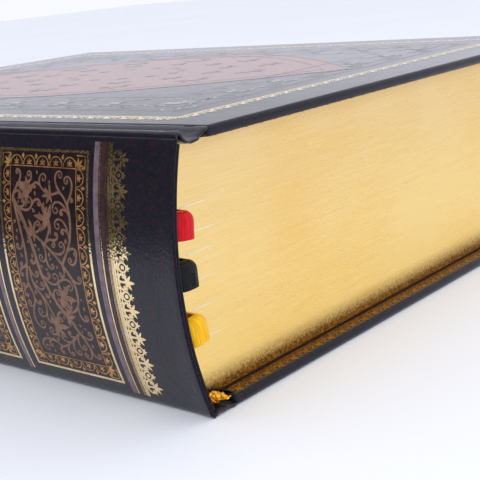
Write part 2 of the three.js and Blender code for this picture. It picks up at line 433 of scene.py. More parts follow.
LEATHER = make_leather("dyed calf leather, plated", 0.44, 0.22)
COVER_LEATHER = make_leather("dyed calf leather, plated and polished", 0.8, 0.2, 0.4)
EDGE_LEATHER = make_leather("dyed calf leather, matt where it is drawn round an edge", 0.12, 0.4)
TURNED_LEATHER = make_leather("dyed calf leather, dull on its turned-in end", 0.05, 0.5, 0.1, 0.08)

# %% [markdown]
# ## The covers
# A cover is a board with leather drawn over it: flat, with edges as round as
# the leather is thick, and inside a frame of turned-in leather around the
# glued-down endpaper. A cube is sized to the cover, its outer edges are
# bevelled, and the inside face is inset by the turn-in and pushed in.

# %% Cover leather
TURN_IN = 15
EDGE_ROUND = 1.55


def cover_leather(side, inside_up):
    """One cover's leather; inside_up is True where its inside looks upwards."""
    low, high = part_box(side + "_cover_leather")
    bm = box_mesh(low, high)
    bmesh.ops.bevel(bm, geom=bm.edges[:], affect="EDGES", offset=EDGE_ROUND * mm, segments=5,
                    profile=0.5, material=-1)
    facing = 1 if inside_up else -1
    inside = max(bm.faces, key=lambda f: f.calc_area() + 1e3 * (f.normal.z * facing > 0.9))
    bmesh.ops.inset_region(bm, faces=[inside], thickness=(TURN_IN - EDGE_ROUND) * mm)
    back = [v for v in inside.verts if v.co.x < 0]
    bmesh.ops.translate(bm, vec=Vector(((1 - TURN_IN) * mm, 0, 0)), verts=back)
    bmesh.ops.inset_region(bm, faces=[inside], thickness=0.05 * mm, depth=-0.5 * mm)
    bm.normal_update()
    for face in bm.faces:
        face.material_index = 1 if abs(face.normal.z) < 0.97 else 0
    piece = finish_mesh(bm, side + "_leather", [COVER_LEATHER, EDGE_LEATHER], side + "_cover")
    sharpen(piece)
    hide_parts(side + "_cover_leather")
    return piece


for side, inside_up in (("upper", False), ("lower", True)):
    piece = cover_leather(side, inside_up)
    print(piece.name, len(piece.data.polygons), "faces")

# %% [markdown]
# ## The spine and its joints
# The leather of the spine is bent to a part of a circle, and its ends at the
# head and the tail are turned in, so they look twice as thick and rounded.
# The joints are the grooves in which the covers turn. Each is a grid laid
# along a profile, given a thickness, with the leather moved a little where
# it is turned in and creases.

# %% Spine curve
def spine_place(along, y, lift=0.0):
    """A place on the spine: millimetres round from its crown, off the head, above the leather."""
    angle = along / SPINE_RADIUS
    radius = SPINE_RADIUS + lift
    return at(SPINE_AXIS - radius * math.cos(angle), y,
              SPINE_MIDDLE + radius * math.sin(angle))


SPINE_UP = SPINE_RADIUS * math.asin((78.7 - SPINE_MIDDLE) / SPINE_RADIUS)
SPINE_DOWN = SPINE_RADIUS * math.asin((0.8 - SPINE_MIDDLE) / SPINE_RADIUS)
print("spine is", round(SPINE_UP - SPINE_DOWN, 1), "mm round")


# %% Spine leather
def turned_in(y, reach=9.0):
    """How far the leather is lifted near the head and the tail, where it is double."""
    from_end = min(y, HEIGHT - y)
    return max(0.0, 1 - from_end / reach) ** 2


def spine_leather():
    def place(s, t):
        y = HEIGHT * t
        return spine_place(SPINE_DOWN + (SPINE_UP - SPINE_DOWN) * s, y, 0.5 * turned_in(y))

    bm = warped_grid(40, 120, place)
    thicken(bm, Vector((-1, 0, 0)), 1.2 * mm, 0.55 * mm)
    bm.normal_update()
    for face in bm.faces:
        face.material_index = 1 if abs(face.normal.y) > 0.2 else 0
    piece = finish_mesh(bm, "spine_skin", [LEATHER, TURNED_LEATHER], "book_block")
    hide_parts("spine_leather")
    return piece


def spine_turn_in(end):
    """The leather turned in over the spine's card at the head or the tail."""
    profile = [(-0.9, 0.3), (-1.5, 0.25), (-2.0, 0.5), (-2.2, 1.2), (-2.2, 4.0), (-2.2, 8.0), (-2.2, 12.0)]

    def place(s, t):
        lift, y = smooth_profile(profile, t)
        return spine_place(SPINE_DOWN + 1.2 + (SPINE_UP - SPINE_DOWN - 2.4) * s,
                           y if end == "head" else HEIGHT - y, lift)

    bm = warped_grid(60, 24, place)
    thicken(bm, Vector((1, 0, 0)), 0.35 * mm, 0)
    return finish_mesh(bm, "spine_turn_in_" + end, TURNED_LEATHER, "book_block")


spine = spine_leather()
for end in ("head", "tail"):
    spine_turn_in(end)
print(spine.name, [round(v / mm, 1) for v in spine.dimensions])

# %% Joints
UPPER_GROOVE = [(-12.5, 78.4), (-12.4, 79.3), (-11.8, 80.1), (-10.9, 80.4), (-10.0, 79.9),
                (-9.2, 78.6), (-8.2, 77.5), (-6.4, 77.2), (-4.4, 77.4), (-2.6, 78.3),
                (-1.2, 79.3), (0.2, 79.9)]
LOWER_GROOVE = [(-9.6, 2.2), (-9.55, 1.3), (-9.3, 0.7), (-8.9, 0.45), (-8.4, 0.9),
                (-7.7, 2.0), (-6.4, 2.7), (-4.6, 2.6), (-2.8, 1.8), (-1.3, 0.8), (0.2, 0.15)]


def joint_leather(side, groove, up):
    """The leather in one groove, creased at both ends."""
    def place(s, t):
        x, z = smooth_profile(groove, s)
        y = HEIGHT * t
        crease = turned_in(y, 14)
        if up < 0:
            z -= crease * 0.8 * max(0.0, z - 0.25)
        ripple = 0.22 if up > 0 else 0.06
        z += crease * ripple * math.sin(x * 2.3 + y * 0.9) * math.sin(math.pi * s)
        drawn_in = 1.6 * ripple * crease * (1 + math.sin(x * 1.7))
        return at(x, y + (drawn_in if y < HEIGHT / 2 else -drawn_in), z)

    bm = warped_grid(44, 160, place)
    thicken(bm, Vector((0, 0, up)), 0.8 * mm, 0.35 * mm, 2)
    for vert in bm.verts:
        vert.co.z = max(vert.co.z, 0.02 * mm)
    piece = finish_mesh(bm, side + "_joint_skin", LEATHER, None)
    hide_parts(side + "_joint_leather")
    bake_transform(piece)
    return piece


upper_joint = joint_leather("upper", UPPER_GROOVE, 1)
lower_joint = joint_leather("lower", LOWER_GROOVE, -1)
print(upper_joint.name, lower_joint.name)

# %% [markdown]
# ## The leaves
# Gilding is done on the edges of the clamped book: bole, gold leaf and a
# burnishing stone, so the edge is a mirror with fine scratches that run along
# the leaves. The paper itself stays cream and shows wherever leaves part.

# %% Gilt edge material
LEAF_PITCH = 0.3 * mm  # a real leaf is 0.1 mm; every third one is drawn so that it shows


def make_gilt():
    gilt, surface = new_material("burnished gold leaf on paper edges")
    place = add_node(gilt, "ShaderNodeTexCoord").outputs["Object"]
    stretch = add_node(gilt, "ShaderNodeMapping", {},
                       {"Vector": place, "Scale": (0.02, 0.02, 1.0)})
    leaves = add_node(gilt, "ShaderNodeTexNoise", {},
                      {"Vector": stretch.outputs[0], "Scale": 1 / LEAF_PITCH, "Detail": 3.0,
                       "Roughness": 0.65})
    clouds = add_node(gilt, "ShaderNodeTexNoise", {},
                      {"Vector": place, "Scale": 1 / (45 * mm), "Detail": 3.0})
    wear = add_node(gilt, "ShaderNodeMath", {"operation": "MULTIPLY_ADD"},
                    {0: clouds.outputs["Fac"], 1: 0.7, 2: leaves.outputs["Fac"]})
    tone = add_node(gilt, "ShaderNodeValToRGB", {}, {"Fac": wear.outputs[0]})
    tone.color_ramp.elements[0].position = 0.55
    tone.color_ramp.elements[0].color = colour("fcd98f")
    tone.color_ramp.elements[1].position = 1.0
    tone.color_ramp.elements[1].color = colour("ffe6ae")
    rough = add_node(gilt, "ShaderNodeMapRange", {},
                     {"Value": wear.outputs[0], 1: 0.5, 2: 1.1, 3: 0.34, 4: 0.2})
    edges = add_node(gilt, "ShaderNodeBump", {},
                     {"Height": leaves.outputs["Fac"], "Strength": 0.13, "Distance": 0.06 * mm})
    # Painted reflection: the gilt's colour is tinted lighter towards the bottom of the edge and duller
    # towards the top, as the table and the dark panel it mirrors would make it.
    height = add_node(gilt, "ShaderNodeSeparateXYZ", {}, {"Vector": place}).outputs["Z"]
    level = add_node(gilt, "ShaderNodeMapRange", {},
                     {"Value": height, 1: 10 * mm, 2: 76 * mm, 3: 0.0, 4: 1.0})
    painted_reflection_tint = add_node(gilt, "ShaderNodeMix", {"data_type": "RGBA"},
                     {0: level.outputs[0], 6: colour("fff6cf"), 7: colour("f2e8da")})
    warm = add_node(gilt, "ShaderNodeMix", {"data_type": "RGBA", "blend_type": "MULTIPLY"},
                    {0: 1.0, 6: tone.outputs["Color"], 7: painted_reflection_tint.outputs[2]})
    # Painted shading and dark reflection: just above the lower board, and a little just below the upper
    # one, the gilt is darkened to brown, broken up by noise.
    low = add_node(gilt, "ShaderNodeMapRange", {"interpolation_type": "SMOOTHSTEP"},
                   {"Value": height, 1: 4.6 * mm, 2: 12.5 * mm, 3: 1.15, 4: 0.0})
    high = add_node(gilt, "ShaderNodeMapRange", {"interpolation_type": "SMOOTHSTEP"},
                    {"Value": height, 1: 71 * mm, 2: 76 * mm, 3: 0.0, 4: 0.22})
    near = add_node(gilt, "ShaderNodeMath", {"operation": "ADD"},
                    {0: low.outputs[0], 1: high.outputs[0]})
    spots = add_node(gilt, "ShaderNodeTexNoise", {},
                     {"Vector": place, "Scale": 1 / (0.9 * mm), "Detail": 4.0})
    board_shading_breakup = add_node(gilt, "ShaderNodeMapRange", {},
                      {"Value": spots.outputs["Fac"], 1: 0.35, 2: 0.65, 3: 0.55, 4: 1.0})
    amount = add_node(gilt, "ShaderNodeMath", {"operation": "MULTIPLY", "use_clamp": True},
                      {0: near.outputs[0], 1: board_shading_breakup.outputs[0]})
    board_shading_mix = add_node(gilt, "ShaderNodeMix", {"data_type": "RGBA"},
                       {0: amount.outputs[0], 6: warm.outputs[2], 7: colour("845c24")})
    link(gilt, board_shading_mix.outputs[2], surface, "Base Color")
    link(gilt, rough.outputs[0], surface, "Roughness")
    link(gilt, edges.outputs["Normal"], surface, "Normal")
    surface.inputs["Metallic"].default_value = 1.0
    return gilt


GILT = make_gilt()


# %% Paper material
def make_paper():
    paper, surface = new_material("uncoated cream book paper")
    place = add_node(paper, "ShaderNodeTexCoord").outputs["Object"]
    fibres = add_node(paper, "ShaderNodeTexNoise", {},
                      {"Vector": place, "Scale": 1 / (1.5 * mm), "Detail": 6.0})
    tone = add_node(paper, "ShaderNodeValToRGB", {}, {"Fac": fibres.outputs["Fac"]})
    tone.color_ramp.elements[0].color = colour("e9dfc6")
    tone.color_ramp.elements[1].color = colour("f6efdc")
    link(paper, tone.outputs["Color"], surface, "Base Color")
    surface.inputs["Roughness"].default_value = 0.85
    return paper


PAPER = make_paper()

# %% [markdown]
# Each stack of leaves is one closed block. Its back is round where it is
# sewn, and its fore edge is hollow by as much. It is cut into columns and
# rows.

# %% Leaf stacks
BLOCK_FORE = (leaves_high.x - cover_low.x) / mm
BLOCK_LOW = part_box("leaves_4")[0].z / mm
BLOCK_HIGH = leaves_high.z / mm
CRACK = 0.012


def fold_x(z):
    """Where the sewn folds end, at a height."""
    return SPINE_AXIS - math.sqrt(FOLD_RADIUS ** 2 - (z - SPINE_MIDDLE) ** 2)


LEAF_WIDTH = BLOCK_FORE - fold_x(BLOCK_HIGH)


def leaf_stack(name, z_low, z_high):
    """A closed block of leaves between two heights."""
    bm = bmesh.new()
    bmesh.ops.create_cube(bm, size=1)
    upright = [e for e in bm.edges if abs(e.verts[0].co.z - e.verts[1].co.z) > 0.5]
    bmesh.ops.subdivide_edges(bm, edges=upright, cuts=15, use_grid_fill=True)
    across = [e for e in bm.edges if abs(e.verts[0].co.x - e.verts[1].co.x) > 0.5]
    bmesh.ops.subdivide_edges(bm, edges=across, cuts=59, use_grid_fill=True)
    for vert in bm.verts:
        share = (vert.co.x + 0.5) ** 1.6
        z = z_low + (z_high - z_low) * (vert.co.z + 0.5)
        y = SQUARE if vert.co.y < 0 else HEIGHT - SQUARE
        vert.co = at(fold_x(z) + LEAF_WIDTH * share, y, z)
    bm.normal_update()
    for face in bm.faces:
        face.material_index = 1 if abs(face.normal.z) > 0.9 else 0
    piece = finish_mesh(bm, name, [GILT, PAPER], None)
    sharpen(piece)
    return piece


levels = [BLOCK_LOW, *RIBBON_HEIGHTS.values(), BLOCK_HIGH]
for number, (z_low, z_high) in enumerate(zip(levels, levels[1:])):
    index = 4 - number
    stack = leaf_stack("leaf_block_%d" % index, z_low + CRACK, z_high - CRACK)
    if index == 4:
        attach(stack, "book_block")
        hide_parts("leaves_4", "sewn_back")
    else:
        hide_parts("leaves_%d" % index)
        at(LEAF_BACK, 0, z_high)
        at(LEAF_BACK + BEND_REACH, 0, z_high)
        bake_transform(stack)
    print(stack.name, round(z_low, 1), "to", round(z_high, 1), "mm")

# %% [markdown]
# Where a ribbon dives between the leaves it pushes them apart. The paper
# behind the gilding shows there as a thin pale wedge that closes after a
# centimetre, so each is a narrow strip that tapers to nothing.

# %% Gaps between the leaves
def stack_of(z):
    """The number of the leaf stack that a height belongs to."""
    return 4 - sum(z > height for height in RIBBON_HEIGHTS.values())


def page_gap(name, x_low, x_high, z, width):
    """A pale wedge on the head edge, from a ribbon's corner towards the fore edge."""
    def place(s, t):
        return at(x_low + (x_high - x_low) * s, SQUARE - 0.04, z + width * (t - 0.5) * (1 - s) ** 0.6)

    bm = warped_grid(12, 1, place)
    face_towards(bm, Vector((0, -1, 0)))
    piece = finish_mesh(bm, name, PAPER, None, outwards=False)
    index = stack_of(z)
    if index == 4:
        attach(piece, "book_block")
    else:
        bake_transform(piece)


for end, x_low, x_high, z, width in (
        ("red_upper", -7.6, 5.5, 58.9, 0.4), ("red_lower", -6.9, 8.0, 51.4, 0.5),
        ("black_upper", -7.0, 6.0, 45.7, 0.36), ("black_lower", -5.9, 5.0, 37.9, 0.36),
        ("yellow_upper", -6.8, 2.0, 30.0, 0.4), ("yellow_lower", -5.6, 7.0, 21.0, 0.46)):
    page_gap("page_gap_" + end, x_low, x_high, z, width)

# %% [markdown]
# ## Head and tail bands
# A band is sewn with silk of two colours round a core, so it is a roll of
# little beads that follows the curve of the folds. The thread's colour
# changes with the height.

# %% Silk bands
BEAD = 1.5


def make_band_silk():
    silk, surface = new_material("silk thread in two colours, wound")
    place = add_node(silk, "ShaderNodeTexCoord").outputs["Object"]
    height = add_node(silk, "ShaderNodeSeparateXYZ", {}, {"Vector": place}).outputs["Z"]
    turns = add_node(silk, "ShaderNodeMath", {"operation": "PINGPONG"},
                     {0: height, 1: 2 * BEAD * mm})
    second = add_node(silk, "ShaderNodeMath", {"operation": "GREATER_THAN"},
                      {0: turns.outputs[0], 1: BEAD * mm})
    mix = add_node(silk, "ShaderNodeMix", {"data_type": "RGBA"},
                   {0: second.outputs[0], 6: colour("8c1f2b"), 7: colour("d9b45c")})
    link(silk, mix.outputs[2], surface, "Base Color")
    surface.inputs["Roughness"].default_value = 0.45
    surface.inputs["Sheen Weight"].default_value = 0.3
    return silk


BAND_SILK = make_band_silk()


def silk_band(name, y_middle):
    """A beaded roll along the folds, closed at both ends."""
    low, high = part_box(name)

    def place(s, t):
        z = low.z / mm + (high.z - low.z) / mm * s
        turn = 2 * math.pi * t
        radius = 1.0 - 0.22 * abs(math.cos(math.pi * z / BEAD)) ** 3
        angle = math.asin((z - SPINE_MIDDLE) / (FOLD_RADIUS - 1))
        out = FOLD_RADIUS - 0.2 + radius * math.cos(turn)
        x = SPINE_AXIS - out * math.cos(angle)
        return at(x, y_middle + 1.15 * radius * math.sin(turn), SPINE_MIDDLE + out * math.sin(angle))

    bm = warped_grid(230, 12, place)
    bmesh.ops.remove_doubles(bm, verts=bm.verts, dist=0.01 * mm)
    bmesh.ops.holes_fill(bm, edges=[e for e in bm.edges if e.is_boundary])
    piece = finish_mesh(bm, name + "_silk", BAND_SILK, "book_block")
    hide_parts(name)


silk_band("head_band", 5.0)
silk_band("tail_band", HEIGHT - 5.0)

# %% [markdown]
# ## Gold tooling
# The ornament is stamped with hot foil. Each drawing is made flat, in
# millimetres, of closed outlines and of strokes. The finished drawing is
# cut into narrow rows, so that it can follow the round spine, and laid a
# few hundredths of a millimetre above the leather.

# %% Foil materials
def make_foil(name, first, second, metallic, roughness, relief=0.05, coat=0.44):
    """A stamped foil or pigment whose colour wanders between two tones; a pigment has a coat."""
    foil, surface = new_material(name)
    place = add_node(foil, "ShaderNodeTexCoord").outputs["Object"]
    patches = add_node(foil, "ShaderNodeTexNoise", {},
                       {"Vector": place, "Scale": 1 / (2.2 * mm), "Detail": 4.0})
    tone = add_node(foil, "ShaderNodeValToRGB", {}, {"Fac": patches.outputs["Fac"]})
    tone.color_ramp.elements[0].position = 0.35
    tone.color_ramp.elements[0].color = colour(first)
    tone.color_ramp.elements[1].position = 0.65
    tone.color_ramp.elements[1].color = colour(second)
    grain = add_node(foil, "ShaderNodeTexVoronoi", {},
                     {"Vector": place, "Scale": 1 / GRAIN_SIZE})
    bump = add_node(foil, "ShaderNodeBump", {},
                    {"Height": grain.outputs["Distance"], "Strength": relief, "Distance": 0.1 * mm})
    link(foil, tone.outputs["Color"], surface, "Base Color")
    link(foil, bump.outputs["Normal"], surface, "Normal")
    surface.inputs["Metallic"].default_value = metallic
    surface.inputs["Roughness"].default_value = roughness
    if metallic < 0.5:
        surface.inputs["Specular IOR Level"].default_value = 0.2
        surface.inputs["Coat Weight"].default_value = coat
        surface.inputs["Coat Roughness"].default_value = 0.26
    return foil


GOLD_FOIL = make_foil("hot-stamped gold foil", "f6d79c", "fde6bc", 1.0, 0.13, 0.4)
DULL_GOLD = make_foil("worn gold foil", "b9872f", "d9a94a", 1.0, 0.34)
BRONZE_FOIL = make_foil("bronze pigment foil", "9c6a3c", "d8a868", 0.6, 0.36, 0.3)
COPPER_INK = make_foil("copper-brown pigment", "735240", "8a6650", 0.3, 0.5)
CRUMPLED_GOLD = make_foil("bright gold leaf, crumpled", "ea9f1c", "ffd663", 1.0, 0.24)
MAUVE_INK = make_foil("mauve pigment", "66545d", "7c6872", 0.2, 0.4)
OXBLOOD_INK = make_foil("oxblood pigment", "2c191c", "43262a", 0.0, 0.42)
FIELD_INK = make_foil("dark red lacquer on leather", "0d0b11", "28141a", 0.0, 0.38)
BURGUNDY_INK = make_foil("burgundy pigment", "6b1a2a", "8e3443", 0.1, 0.4, coat=1.0)
GREY_INK = make_foil("pewter pigment", "5c5b66", "77757f", 0.4, 0.4, coat=1.0)
WINE_INK = make_foil("wine-red pigment", "4c1a26", "64283a", 0.1, 0.4, coat=1.0)


# %% Drawing tools
class Drawing:
    """A flat ornament in millimetres: outlines with holes, solid shapes, and strokes."""

    def __init__(self):
        self.outlines = []
        self.shapes = []
        self.strokes = []

    def box(self, u_low, u_high, v_low, v_high):
        self.outlines.append([(u_low, v_low), (u_high, v_low), (u_high, v_high), (u_low, v_high)])

    def ring(self, u_low, u_high, v_low, v_high, width):
        """A rectangular line: one box and a smaller one inside it."""
        self.box(u_low, u_high, v_low, v_high)
        self.box(u_low + width, u_high - width, v_low + width, v_high - width)

    def flat_mesh(self):
        bm = bmesh.new()
        if self.outlines:
            fill_outlines(bm, self.outlines)
        for number, outline in enumerate(self.shapes):
            height = 0.012 + 0.0015 * (number % 5)
            bm.faces.new([bm.verts.new((u, v, height)) for u, v in outline])
        bm.normal_update()
        bmesh.ops.triangulate(bm, faces=bm.faces[:], ngon_method="EAR_CLIP")
        for number, (points, segments) in enumerate(self.strokes):
            add_stroke(bm, points, segments, 0.004 + 0.0015 * (number % 5))
        return bm


def fill_outlines(bm, outlines):
    """Fills closed outlines; one inside another cuts a hole."""
    curve = bpy.data.curves.new("outlines", "CURVE")
    curve.dimensions = "2D"
    curve.fill_mode = "BOTH"
    for outline in outlines:
        spline = curve.splines.new("POLY")
        spline.points.add(len(outline) - 1)
        for point, (u, v) in zip(spline.points, outline):
            point.co = (u, v, 0, 1)
        spline.use_cyclic_u = True
    shape = bpy.data.objects.new("outlines", curve)
    mesh = bpy.data.meshes.new_from_object(shape)
    bm.from_mesh(mesh)
    bpy.data.objects.remove(shape)
    bpy.data.curves.remove(curve)
    bpy.data.meshes.remove(mesh)


def add_stroke(bm, points, segments, height):
    """A flat strip along a smooth curve; each point is (u, v, width)."""
    made = bmesh.ops.create_grid(bm, x_segments=segments, y_segments=1, size=0.5)
    for vert in made["verts"]:
        share = vert.co.x + 0.5
        u, v, width = smooth_profile(points, share)
        before = smooth_profile(points, max(0.0, share - 0.01))
        after = smooth_profile(points, min(1.0, share + 0.01))
        along = Vector((after[0] - before[0], after[1] - before[1])).normalized()
        side = width * (0.5 if vert.co.y > 0 else -0.5)
        vert.co = (u - along.y * side, v + along.x * side, height)


def put_on(drawing, name, material, body, place, outward, step=None, lift=0.05):
    """Lays a drawing on the book: place(u, v, lift) gives each point's place."""
    bm = drawing.flat_mesh()
    if step:
        us = [v.co.x for v in bm.verts]
        for k in range(int(min(us) // step) + 1, int(max(us) // step) + 1):
            bmesh.ops.bisect_plane(bm, geom=bm.verts[:] + bm.edges[:] + bm.faces[:],
                                   plane_co=(k * step, 0, 0), plane_no=(1, 0, 0))
    for vert in bm.verts:
        vert.co = place(vert.co.x, vert.co.y, lift + vert.co.z)
    face_towards(bm, outward)
    return finish_mesh(bm, name, material, body, outwards=False)


def fitted(origin, direction, size=1.0, outward=1):
    """Turns a motif's own (along, out) millimetres into the drawing's (u, v)."""
    ahead = Vector(direction).normalized()
    out = Vector((-ahead.y, ahead.x)) * outward
    start = Vector(origin)
    return lambda a, h: tuple(start + (ahead * a + out * h) * size)


def leaf_outline(put, a, h, size, angle=0.0, lobes=5, spread=46, valley=0.42):
    """A lobed leaf that grows from (a, h), its middle lobe pointing outwards plus an angle."""
    middle = (lobes - 1) / 2
    shoulder = 0.45 + 0.5 * valley
    points = []
    for k in range(lobes):
        turn = math.radians(angle + (k - middle) * spread)
        length = size * (1 - 0.13 * abs(k - middle))
        for off, share in ((-0.5, valley), (-0.26, shoulder), (0, 1), (0.26, shoulder)):
            t = turn + off * math.radians(spread)
            points.append(put(a + length * share * math.sin(t), h + length * share * math.cos(t)))
    end = math.radians(angle + (middle + 0.5) * spread)
    points.append(put(a + valley * size * math.sin(end), h + valley * size * math.cos(end)))
    points.append(put(a - 0.1 * size * math.sin(math.radians(angle)),
                      h - 0.1 * size * math.cos(math.radians(angle))))
    return points


def oval(put, a, h, half_width, half_height, power=1.35, count=12):
    """A lozenge with round sides."""
    points = []
    for k in range(count):
        c = math.cos(2 * math.pi * k / count)
        s = math.sin(2 * math.pi * k / count)
        points.append(put(a + half_width * math.copysign(abs(c) ** power, c),
                          h + half_height * math.copysign(abs(s) ** power, s)))
    return points


def stroke(put, *points):
    return [(*put(a, h), width) for a, h, width in points]


# %% [markdown]
# The lace is one motif over and over: a maple-like leaf on a stem between
# two scrolls, and a lozenge with a rose in it, standing on a thin band.

# %% Lace
LACE_PITCH = 8.4


def lace_leaf(drawing, put, size):
    """A leaf on a stem, between two scrolls that fill the lace's foot."""
    drawing.shapes.append(leaf_outline(put, 0, 3.7, 3.2, 0, 5, 50, 0.42))
    drawing.strokes.append((stroke(put, (0, 0.2, 1.3 * size), (0, 1.6, 0.7 * size),
                                   (0, 3.0, 0.8 * size), (0, 4.2, 1.2 * size)), 4))
    for side in (-1, 1):
        drawing.strokes.append((stroke(put, (0.2 * side, 0.7, 0.9 * size),
                                       (1.2 * side, 0.75, 0.8 * size), (2.2 * side, 1.7, 0.75 * size),
                                       (1.9 * side, 2.75, 0.7 * size), (1.1 * side, 2.4, 0.8 * size)), 9))
        drawing.shapes.append(leaf_outline(put, 1.7 * side, 3.1, 1.3, 62 * side, 3, 55))


def lace_rose(drawing, put, size):
    """A lozenge with a rose in it, on a low arc."""
    drawing.outlines.append(oval(put, 0, 2.7, 1.7, 2.0, 1.15))
    drawing.outlines.append(oval(put, 0, 2.8, 1.15, 1.25, 1.2))
    drawing.outlines.append(oval(put, 0, 2.8, 0.65, 0.7, 0.8, 8))
    drawing.strokes.append((stroke(put, (-2.6, 0.3, 0.8 * size), (-1.3, 0.9, 0.5 * size),
                                   (0, 0.35, 1.1 * size), (1.3, 0.9, 0.5 * size),
                                   (2.6, 0.3, 0.8 * size)), 8))
    drawing.shapes.append(leaf_outline(put, 0, 4.4, 1.5, 0, 3, 55))


def lace(drawing, start, end, count, size, outward=1, whole=True):
    """Lace between two points, with a leaf in the middle of each of its repeats."""
    start, end = Vector(start), Vector(end)
    ahead = (end - start).normalized()
    pitch = (end - start).length / count
    for k in range(count):
        lace_leaf(drawing, fitted(start + ahead * pitch * (k + 0.5), ahead, size, outward), size)
    for k in range(0 if whole else 1, count + (1 if whole else 0)):
        lace_rose(drawing, fitted(start + ahead * pitch * k, ahead, size, outward), size)


# %% Spine ornament
STRIPE_UP = 34.8
STRIPE_DOWN = -41.0
FRAME_UP = 32.2
FRAME_DOWN = -38.3
FIRST_PANEL = 32.2
SIDE_PANEL = 39.3
PANEL_GAP = 7.8
MIDDLE_PANEL = HEIGHT - 2 * (FIRST_PANEL + 2 * SIDE_PANEL + 2 * PANEL_GAP)
OUT = Vector((-1, 0, 0))


def on_spine(drawing, name, material, lift=0.05):
    return put_on(drawing, name, material, "book_block", spine_place, OUT, step=3, lift=lift)


def stripes_near_end(mirror):
    """The stripes and the lace near the head, or mirrored near the tail."""
    def across(y):
        return HEIGHT - y if mirror else y

    def stripe(drawing, y_low, y_high):
        a, b = sorted((across(y_low), across(y_high)))
        drawing.box(STRIPE_DOWN, STRIPE_UP, a, b)

    end = "tail" if mirror else "head"
    gold = Drawing()
    for y_low, y_high in ((23.0, 23.7), (23.8, 24.25), (24.35, 24.6), (24.95, 25.1), (25.4, 25.55),
                          (27.5, 27.95)):
        stripe(gold, y_low, y_high)
    on_spine(gold, "gold_lines_" + end, GOLD_FOIL)
    lines = Drawing()
    tips = 9
    first = 30.2 + LACE_PITCH / 2
    lace(lines, (first - tips * LACE_PITCH, across(23.1)), (first, across(23.1)), tips, 1.0,
         1 if mirror else -1, whole=False)
    on_spine(lines, "spine_lace_" + end, GOLD_FOIL)
    mauve = Drawing()
    stripe(mauve, 28.2, 30.2)
    on_spine(mauve, "mauve_stripe_" + end, MAUVE_INK)
    red = Drawing()
    stripe(red, 25.75, 27.35)
    on_spine(red, "oxblood_stripe_" + end, OXBLOOD_INK)


for mirror in (False, True):
    stripes_near_end(mirror)

# %% [markdown]
# A panel has a gold frame, a border of little arches with a palmette in
# each, a thin inner line and a vine. The vine's tendrils are curves that
# turn tighter and tighter, as a pen draws them. They grow from the stems to
# one side and the other in turn wherever there is room, smaller ones grow
# from them, and seeds and small leaves fill what is left.

# %% Panel border
BORDER = 3.6
BORDER_GAP = 1.4


def arch(bronze, put, pitch):
    """One arch with a palmette under it and a lozenge beside it."""
    k = pitch / 5.6
    bronze.strokes.append((stroke(put, (-2.5 * k, 0.2, 0.4), (-2.3 * k, 1.5, 0.34), (-1.3 * k, 2.6, 0.34),
                                  (0, 2.95, 0.34), (1.3 * k, 2.6, 0.34), (2.3 * k, 1.5, 0.34),
                                  (2.5 * k, 0.2, 0.4)), 8))
    bronze.shapes.append(leaf_outline(put, 0, 0.75, 1.7, 0, 3, 50))
    bronze.strokes.append((stroke(put, (-1.1, 0.5, 0.22), (0, 0.62, 0.32), (1.1, 0.5, 0.22)), 2))
    bronze.shapes.append([put(pitch / 2 - 0.62, 2.85), put(pitch / 2, 1.9),
                          put(pitch / 2 + 0.62, 2.85), put(pitch / 2, 3.75)])


def arch_border(bronze, u_low, u_high, v_low, v_high):
    """Arches round a panel's inner line, pointing outwards, with a leaf in each corner."""
    corners = [(u_low, v_low), (u_high, v_low), (u_high, v_high), (u_low, v_high)]
    for k, (start, end) in enumerate(zip(corners, corners[1:] + corners[:1])):
        start, end = Vector(start), Vector(end)
        ahead = (end - start).normalized()
        length = (end - start).length
        count = round(length / 5.6)
        pitch = length / count
        for n in range(count):
            arch(bronze, fitted(start + ahead * pitch * (n + 0.5), ahead, 1, -1), pitch)
        corner = fitted(start, ahead, 1, -1)
        bronze.shapes.append(leaf_outline(corner, -0.5, 0.5, 2.9, -45, 5, 40))
        bronze.strokes.append((stroke(corner, (-3.5, -0.2, 0.3), (-3.5, 1.7, 0.3), (-3.45, 3.4, 0.3),
                                      (-1.7, 3.5, 0.3), (0.2, 3.5, 0.3)), 4))


# %% Vine
def tendril(u, v, heading, length, turn, width=0.7, tightness=1.6, count=14):
    """A curve that starts in a direction and winds up; angles in degrees, 0 along +v."""
    points = [(u, v, width)]
    weights = [((k + 0.5) / count) ** tightness for k in range(count)]
    angle = math.radians(heading)
    for k, weight in enumerate(weights):
        angle += math.radians(turn) * weight / sum(weights)
        step = length / count * (1.25 - 0.75 * (k + 0.5) / count)
        u += step * math.sin(angle)
        v += step * math.cos(angle)
        taper = width * (1 - 0.55 * k / count)
        points.append((u, v, taper if k < count - 2 else width * 0.85))
    return points


# Stems as rows of (down from the panel's top, in from its head side, width),
# both as shares of the panel's inside.
STEMS = [
    [(0.15, 1.0, 1.7), (0.27, 0.82, 1.5), (0.42, 0.7, 1.3), (0.56, 0.62, 1.2), (0.7, 0.45, 1.1),
     (0.82, 0.25, 1.0), (0.93, 0.12, 0.8)],
    [(0.3, 0.78, 1.0), (0.36, 0.55, 0.9), (0.45, 0.3, 0.9), (0.56, 0.12, 0.9), (0.68, 0.14, 0.9),
     (0.73, 0.34, 0.8), (0.68, 0.5, 0.7)],
    [(0.17, 0.98, 1.0), (0.3, 0.9, 1.0), (0.45, 0.85, 0.9), (0.58, 0.9, 0.9), (0.66, 0.84, 0.7)],
    [(0.47, 0.27, 0.9), (0.34, 0.1, 0.9), (0.2, 0.08, 0.9), (0.11, 0.2, 0.8), (0.12, 0.34, 0.7)],
    [(0.5, 0.83, 0.9), (0.6, 0.8, 0.8), (0.68, 0.66, 0.8), (0.8, 0.56, 0.7)],
    [(0.38, 0.52, 0.8), (0.3, 0.42, 0.7), (0.24, 0.42, 0.6)],
    [(0.84, 0.25, 0.8), (0.9, 0.42, 0.8), (0.94, 0.6, 0.7), (0.9, 0.74, 0.6)],
    [(0.15, 1.0, 1.0), (0.07, 0.88, 0.8), (0.1, 0.74, 0.7)],
]
